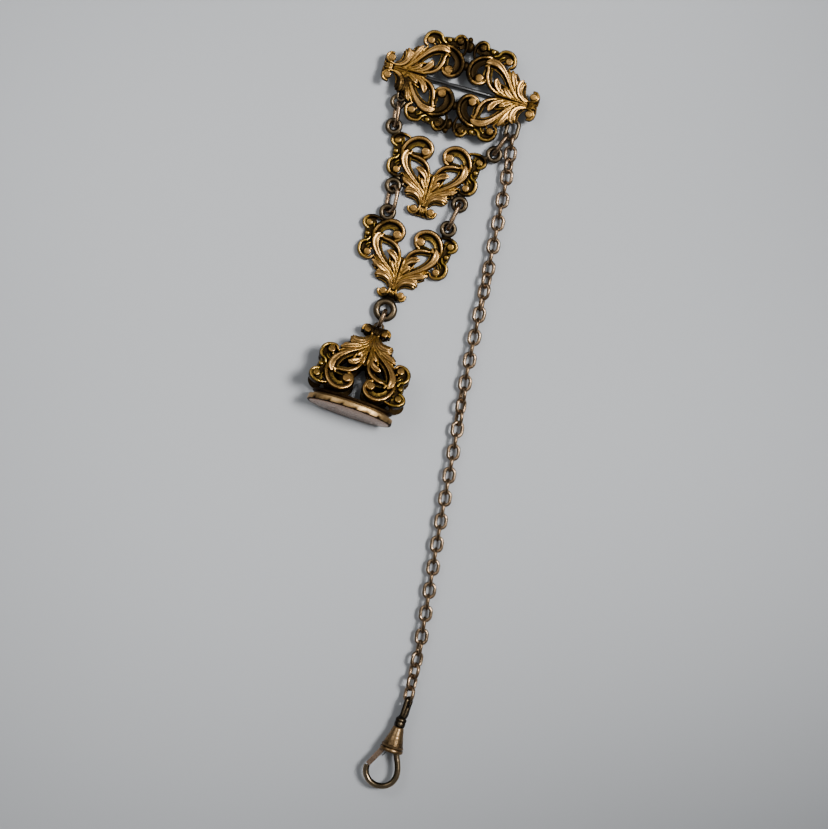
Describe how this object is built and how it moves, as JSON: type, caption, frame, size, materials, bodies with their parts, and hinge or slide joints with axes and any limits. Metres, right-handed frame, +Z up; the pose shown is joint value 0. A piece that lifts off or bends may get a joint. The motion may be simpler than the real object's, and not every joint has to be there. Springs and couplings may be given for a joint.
{
  "type": "watch pin with fob, seal and safety chain",
  "caption": "Openwork brooch pin carrying jump-ringed fob panels, a hanging seal and a cable safety chain that ends in a sprung watch swivel",
  "frame": {"origin": "middle of the whole object's footprint, on the surface that it lies on", "axes": "X along the brooch, +Y from the swivel towards the brooch, +Z up out of the surface; everything is laid out flat at rest"},
  "size_m": [0.0516, 0.186, 0.0127],
  "materials": {
    "stamped_gold": "warm yellow gold-filled stamping, rosy on the high points, brown-black tarnish in the hollows",
    "dark_solder": "heat-blackened soldered wire and findings, slightly shiny where rubbed",
    "ring_gold": "worn rose-gold wire with brown tarnish",
    "chain_gold": "dull brownish gold cable links, dark where links touch",
    "seal_gold": "smooth worn rose gold",
    "barrel_brass": "brassy brown worn gold plate",
    "hook_gold": "polished round wire, yellow-green gold with dark reflections",
    "pin_steel": "grey drawn steel wire"
  },
  "bodies": {
    "brooch": {"brooch_stamping_left": "stamped_gold", "brooch_stamping_right": "stamped_gold", "pin_joint": "dark_solder", "pin_catch": "dark_solder", "pin_rivet": "pin_steel", "hanging_loop_left": "dark_solder", "hanging_loop_right": "dark_solder"},
    "pin": {"pin_stem": "pin_steel"},
    "upper_left_ring": {"jump_ring_upper_left": "ring_gold"},
    "upper_right_ring": {"jump_ring_upper_right": "ring_gold"},
    "upper_panel": {"upper_panel": "stamped_gold", "upper_panel_ring_top_left": "dark_solder", "upper_panel_ring_top_right": "dark_solder", "upper_panel_ring_bottom_left": "dark_solder", "upper_panel_ring_bottom_right": "dark_solder"},
    "lower_left_ring": {"jump_ring_lower_left": "ring_gold"},
    "lower_right_ring": {"jump_ring_lower_right": "ring_gold"},
    "lower_panel": {"lower_panel": "stamped_gold", "lower_panel_ring_top_left": "dark_solder", "lower_panel_ring_top_right": "dark_solder", "lower_panel_ring_bottom": "dark_solder"},
    "seal_link": {"seal_link": "ring_gold"},
    "seal": {"seal_eye": "dark_solder", "seal_stamping_front": "stamped_gold", "seal_stamping_back": "stamped_gold", "seal_rim": "seal_gold", "seal_plate": "seal_gold"},
    "chain_01": {"chain_links_01": "chain_gold"},
    "chain_02": {"chain_links_02": "chain_gold"},
    "chain_03": {"chain_links_03": "chain_gold"},
    "chain_04": {"chain_links_04": "chain_gold"},
    "chain_05": {"chain_links_05": "chain_gold"},
    "chain_06": {"chain_links_06": "chain_gold"},
    "chain_07": {"chain_links_07": "chain_gold"},
    "chain_08": {"chain_links_08": "chain_gold"},
    "chain_09": {"chain_links_09": "chain_gold"},
    "chain_10": {"chain_links_10": "chain_gold"},
    "chain_11": {"chain_links_11": "chain_gold"},
    "chain_12": {"chain_links_12": "chain_gold"},
    "chain_13": {"chain_links_13": "chain_gold"},
    "chain_14": {"chain_links_14": "chain_gold"},
    "chain_15": {"chain_links_15": "chain_gold"},
    "chain_16": {"chain_links_16": "chain_gold"},
    "chain_17": {"chain_links_17": "chain_gold"},
    "chain_18": {"chain_links_18": "chain_gold"},
    "chain_19": {"chain_links_19": "chain_gold"},
    "chain_20": {"chain_links_20": "chain_gold"},
    "chain_21": {"chain_links_21": "chain_gold"},
    "chain_22": {"chain_links_22": "chain_gold"},
    "chain_23": {"chain_links_23": "chain_gold"},
    "chain_24": {"chain_links_24": "chain_gold"},
    "chain_25": {"chain_links_25": "chain_gold"},
    "swivel_eye": {"swivel_eye": "dark_solder"},
    "swivel": {"swivel_barrel": "barrel_brass", "swivel_hook": "hook_gold", "gate_pin": "pin_steel"},
    "gate": {"gate": "hook_gold", "gate_spring": "pin_steel"}
  },
  "joints": [
    {"name": "pin_hinge", "type": "hinge", "parent": "brooch", "child": "pin", "pos_m": [0.00744, 0.08124, 0.00159], "axis": [0, -1, 0], "range_deg": [0, 80]},
    {"name": "upper_left_ring_hinge", "type": "hinge", "parent": "brooch", "child": "upper_left_ring", "pos_m": [-0.02006, 0.07194, 0.00219], "axis": [1, 0, 0], "range_deg": [-35, 35]},
    {"name": "upper_right_ring_hinge", "type": "hinge", "parent": "brooch", "child": "upper_right_ring", "pos_m": [0.00914, 0.07194, 0.00219], "axis": [1, 0, 0], "range_deg": [-35, 35]},
    {"name": "upper_panel_hinge", "type": "hinge", "parent": "upper_left_ring", "child": "upper_panel", "pos_m": [-0.01946, 0.06912, 0.00144], "axis": [-1, 0, 0], "range_deg": [-35, 35]},
    {"name": "lower_left_ring_hinge", "type": "hinge", "parent": "upper_panel", "child": "lower_left_ring", "pos_m": [-0.01556, 0.05147, 0.00144], "axis": [1, 0, 0], "range_deg": [-35, 35]},
    {"name": "lower_right_ring_hinge", "type": "hinge", "parent": "upper_panel", "child": "lower_right_ring", "pos_m": [0.00164, 0.05147, 0.00144], "axis": [1, 0, 0], "range_deg": [-35, 35]},
    {"name": "lower_panel_hinge", "type": "hinge", "parent": "lower_left_ring", "child": "lower_panel", "pos_m": [-0.01506, 0.04812, 0.00144], "axis": [-1, 0, 0], "range_deg": [-20, 35]},
    {"name": "seal_link_hinge", "type": "hinge", "parent": "lower_panel", "child": "seal_link", "pos_m": [-0.00898, 0.02037, 0.00164], "axis": [1, 0, 0], "range_deg": [-30, 30]},
    {"name": "seal_hinge", "type": "hinge", "parent": "seal_link", "child": "seal", "pos_m": [-0.00933, 0.01919, 0.00149], "axis": [-1, 0, 0], "range_deg": [-30, 10]},
    {"name": "chain_01_hinge", "type": "hinge", "parent": "brooch", "child": "chain_01", "pos_m": [0.00984, 0.07214, 0.00219], "axis": [1, 0, 0], "range_deg": [-30, 30]},
    {"name": "chain_02_hinge", "type": "hinge", "parent": "chain_01", "child": "chain_02", "pos_m": [0.01017, 0.06971, 0.00214], "axis": [0.0037, -0.0288, 0.9996], "range_deg": [-10, 35]},
    {"name": "chain_03_hinge", "type": "hinge", "parent": "chain_02", "child": "chain_03", "pos_m": [0.01086, 0.06463, 0.00196], "axis": [0.9488, 0.0965, 0.3007], "range_deg": [-35, 35]},
    {"name": "chain_04_hinge", "type": "hinge", "parent": "chain_03", "child": "chain_04", "pos_m": [0.01151, 0.05817, 0.00189], "axis": [-0.0007, 0.0075, -1], "range_deg": [-35, 10]},
    {"name": "chain_05_hinge", "type": "hinge", "parent": "chain_04", "child": "chain_05", "pos_m": [0.01195, 0.05306, 0.00188], "axis": [-0.9967, -0.0817, 0], "range_deg": [-35, 35]},
    {"name": "chain_06_hinge", "type": "hinge", "parent": "chain_05", "child": "chain_06", "pos_m": [0.01248, 0.04658, 0.00189], "axis": [0.0001, -0.0009, -1], "range_deg": [-35, 10]},
    {"name": "chain_07_hinge", "type": "hinge", "parent": "chain_06", "child": "chain_07", "pos_m": [0.01289, 0.04146, 0.00189], "axis": [-0.9308, -0.0718, -0.3584], "range_deg": [-35, 35]},
    {"name": "chain_08_hinge", "type": "hinge", "parent": "chain_07", "child": "chain_08", "pos_m": [0.01337, 0.03499, 0.00188], "axis": [-0.6673, -0.0492, 0.7431], "range_deg": [-35, 35]},
    {"name": "chain_09_hinge", "type": "hinge", "parent": "chain_08", "child": "chain_09", "pos_m": [0.01373, 0.02987, 0.00188], "axis": [0.9977, 0.0681, 0], "range_deg": [-35, 35]},
    {"name": "chain_10_hinge", "type": "hinge", "parent": "chain_09", "child": "chain_10", "pos_m": [0.01417, 0.02338, 0.00188], "axis": [0, 0.0002, 1], "range_deg": [-25, 35]},
    {"name": "chain_11_hinge", "type": "hinge", "parent": "chain_10", "child": "chain_11", "pos_m": [0.01453, 0.01826, 0.00188], "axis": [0.9972, 0.075, 0], "range_deg": [-35, 35]},
    {"name": "chain_12_hinge", "type": "hinge", "parent": "chain_11", "child": "chain_12", "pos_m": [0.01504, 0.01179, 0.00189], "axis": [0, -0.0003, -1], "range_deg": [-35, 35]},
    {"name": "chain_13_hinge", "type": "hinge", "parent": "chain_12", "child": "chain_13", "pos_m": [0.01552, 0.00668, 0.00189], "axis": [-0.7382, -0.0857, 0.6691], "range_deg": [-35, 35]},
    {"name": "chain_14_hinge", "type": "hinge", "parent": "chain_13", "child": "chain_14", "pos_m": [0.0163, 0.00023, 0.00189], "axis": [-0.4659, -0.0576, -0.8829], "range_deg": [-35, 35]},
    {"name": "chain_15_hinge", "type": "hinge", "parent": "chain_14", "child": "chain_15", "pos_m": [0.01689, -0.00487, 0.00189], "axis": [-0.9948, -0.1014, 0], "range_deg": [-35, 35]},
    {"name": "chain_16_hinge", "type": "hinge", "parent": "chain_15", "child": "chain_16", "pos_m": [0.01753, -0.01133, 0.00189], "axis": [0, 0, 1], "range_deg": [-35, 35]},
    {"name": "chain_17_hinge", "type": "hinge", "parent": "chain_16", "child": "chain_17", "pos_m": [0.01802, -0.01644, 0.00189], "axis": [0.9954, 0.0958, 0], "range_deg": [-35, 35]},
    {"name": "chain_18_hinge", "type": "hinge", "parent": "chain_17", "child": "chain_18", "pos_m": [0.01865, -0.02291, 0.00189], "axis": [0, 0, 1], "range_deg": [-35, 35]},
    {"name": "chain_19_hinge", "type": "hinge", "parent": "chain_18", "child": "chain_19", "pos_m": [0.01918, -0.02802, 0.00189], "axis": [0.9937, 0.1117, 0], "range_deg": [-35, 35]},
    {"name": "chain_20_hinge", "type": "hinge", "parent": "chain_19", "child": "chain_20", "pos_m": [0.01992, -0.03447, 0.00188], "axis": [-0.0003, 0.0023, -1], "range_deg": [-35, 35]},
    {"name": "chain_21_hinge", "type": "hinge", "parent": "chain_20", "child": "chain_21", "pos_m": [0.02053, -0.03957, 0.00186], "axis": [-0.9928, -0.1197, 0], "range_deg": [-35, 35]},
    {"name": "chain_22_hinge", "type": "hinge", "parent": "chain_21", "child": "chain_22", "pos_m": [0.02131, -0.04602, 0.00186], "axis": [0, 0.0004, -1], "range_deg": [-35, 35]},
    {"name": "chain_23_hinge", "type": "hinge", "parent": "chain_22", "child": "chain_23", "pos_m": [0.02187, -0.05112, 0.00188], "axis": [-0.9961, -0.0879, 0], "range_deg": [-35, 35]},
    {"name": "chain_24_hinge", "type": "hinge", "parent": "chain_23", "child": "chain_24", "pos_m": [0.02238, -0.05759, 0.00194], "axis": [0.2574, 0.0297, 0.9659], "range_deg": [-35, 35]},
    {"name": "chain_25_hinge", "type": "hinge", "parent": "chain_24", "child": "chain_25", "pos_m": [0.02269, -0.0627, 0.00232], "axis": [0.7112, -0.0569, -0.7007], "range_deg": [-35, 35]},
    {"name": "swivel_eye_hinge", "type": "hinge", "parent": "chain_25", "child": "swivel_eye", "pos_m": [0.02334, -0.0682, 0.00324], "axis": [0.4995, -0.0227, -0.866], "range_deg": [-35, 35]},
    {"name": "swivel_spin", "type": "hinge", "parent": "swivel_eye", "child": "swivel", "pos_m": [0.02269, -0.07596, 0.00324], "axis": [0.0454, 0.999, 0], "continuous": true},
    {"name": "gate_hinge", "type": "hinge", "parent": "swivel", "child": "gate", "pos_m": [0.02069, -0.08137, 0.00324], "axis": [0, 0, 1], "range_deg": [0, 28], "stiffness_Nm_per_rad": 0.0005, "springref_deg": -8.59}
  ],
  "couplings": [
    {"joint": "upper_right_ring_hinge", "follows": "upper_left_ring_hinge", "ratio": 1},
    {"joint": "lower_right_ring_hinge", "follows": "lower_left_ring_hinge", "ratio": 1}
  ]
}
